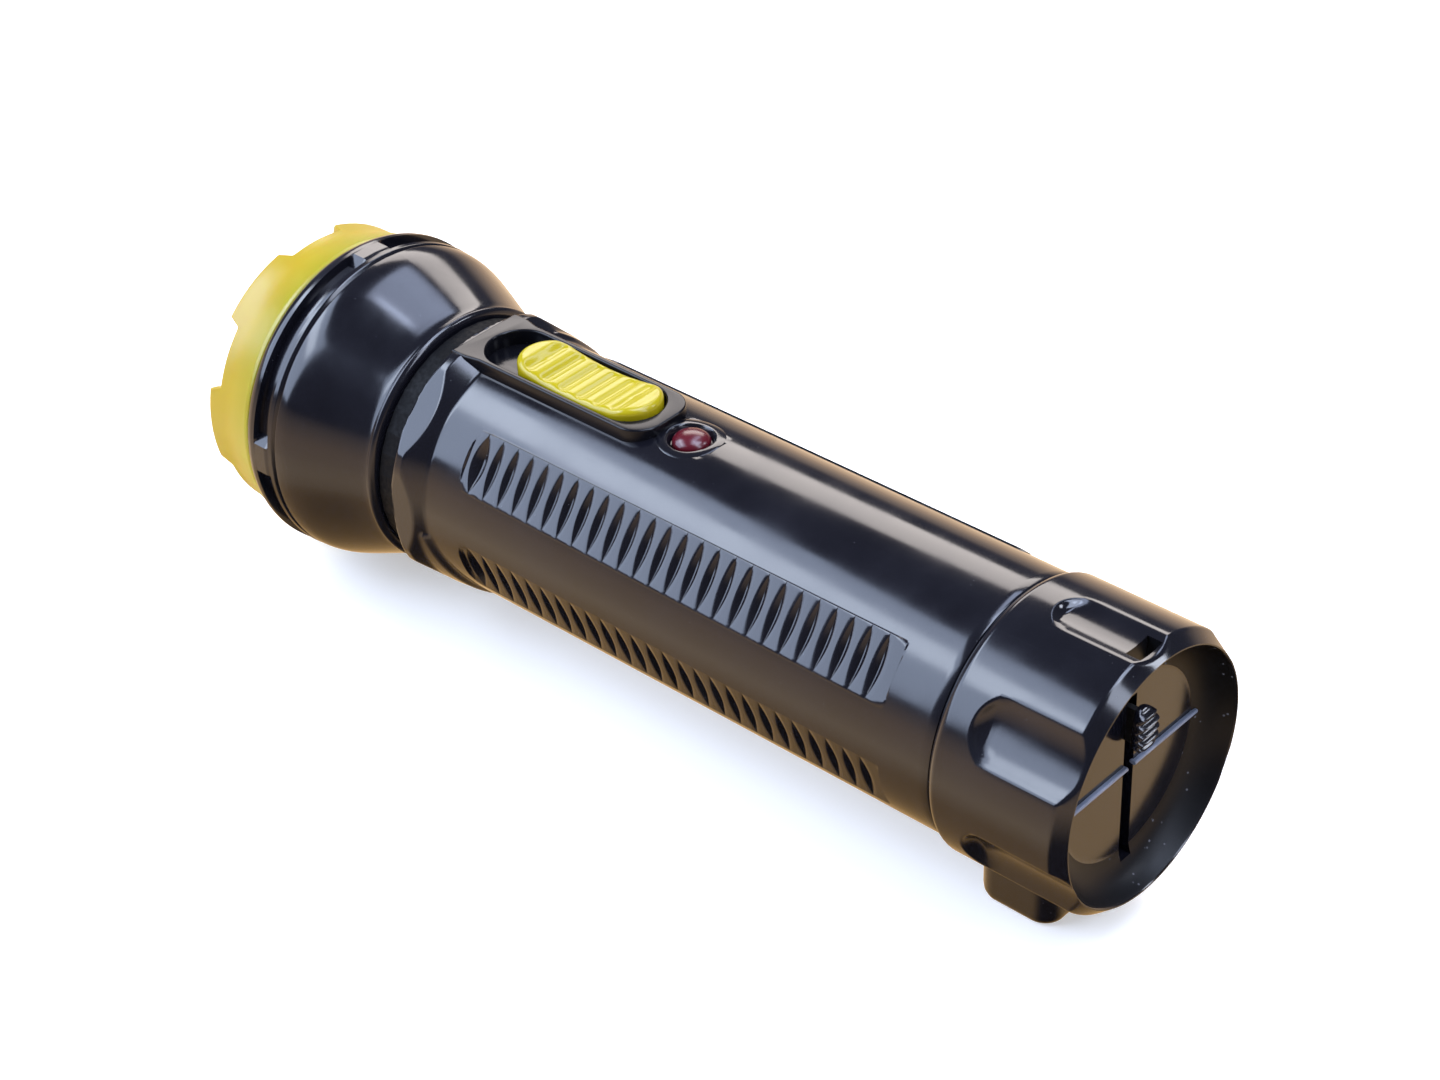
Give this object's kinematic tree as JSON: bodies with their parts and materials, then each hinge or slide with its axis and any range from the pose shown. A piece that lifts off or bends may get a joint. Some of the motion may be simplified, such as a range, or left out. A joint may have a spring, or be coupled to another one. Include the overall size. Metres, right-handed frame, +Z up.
{
  "type": "flashlight",
  "caption": "Rechargeable hand flashlight with a flared head, toothed yellow bezel, slide switch, notched grip panels and a pull-down mains plug in its tail cap.",
  "frame": {"origin": "centre of the length, on the tube axis seen from above, at the level of the surface it lies on", "axes": "X along the tube with the beam towards -X and the tail towards +X, Y across, Z up through the switch"},
  "size_m": [0.1726, 0.0546, 0.0546],
  "materials": {
    "black_gloss": "gloss",
    "yellow_bezel": "satin",
    "lemon_button": "gloss",
    "red_lens": "gloss",
    "black_matte": "matt",
    "black_rubber": "matt",
    "white_moulding": "matt",
    "nickel": "brushed",
    "brass_strip": "polished",
    "mirror_cup": "mirror",
    "alloy_disc": "satin",
    "clear_lens": "clear",
    "circuit_board": "solder mask",
    "white_board": "solder mask",
    "led_resin": "clear resin",
    "cell_body": "shrink wrap",
    "red_component": "gloss",
    "capacitor_can": "sleeve",
    "resistor_body": "lacquer",
    "diode_body": "epoxy",
    "wire_red": "insulation",
    "wire_black": "insulation",
    "wire_blue": "insulation"
  },
  "bodies": {
    "housing": {"tail_cap": "black_gloss", "body_tube": "black_gloss", "head_shell": "black_gloss", "bezel_ring": "yellow_bezel", "switch_base": "black_matte", "switch_contact_front": "brass_strip", "switch_contact_rear": "brass_strip", "indicator_lens": "red_lens", "indicator_lamp": "red_lens", "neck_gasket": "black_rubber", "lens_gasket": "black_rubber", "lens": "clear_lens", "reflector": "mirror_cup", "led_holder": "alloy_disc", "led_board": "white_board", "led_emitter": "led_resin", "battery_cell": "cell_body", "battery_cradle": "white_moulding", "contact_spring": "nickel", "spring_plate": "nickel", "positive_plate": "nickel", "charger_board": "circuit_board", "film_capacitor": "red_component", "smoothing_capacitor": "capacitor_can", "diode_1": "diode_body", "diode_2": "diode_body", "diode_3": "diode_body", "diode_4": "diode_body", "resistor": "resistor_body", "plug_guide": "black_matte", "guide_screw_left": "nickel", "guide_screw_right": "nickel", "plug_contact_left": "brass_strip", "plug_contact_right": "brass_strip", "wire_cell_to_switch": "wire_red", "wire_switch_to_lamp": "wire_red", "wire_ground_to_lamp": "wire_black", "wire_charger_to_switch": "wire_red", "wire_mains_left": "wire_red", "wire_mains_right": "wire_blue"},
    "plug": {"plug_carrier": "black_matte", "plug_knob": "black_gloss", "plug_pin_left": "brass_strip", "plug_pin_right": "brass_strip"},
    "switch": {"switch_button": "lemon_button", "switch_slider": "white_moulding"}
  },
  "joints": [
    {"name": "plug_slide", "type": "slide", "parent": "housing", "child": "plug", "axis": [0, 0, -1], "range_m": [0, 0.018]},
    {"name": "switch_slide", "type": "slide", "parent": "housing", "child": "switch", "axis": [-1, 0, 0], "range_m": [0, 0.0062]}
  ]
}
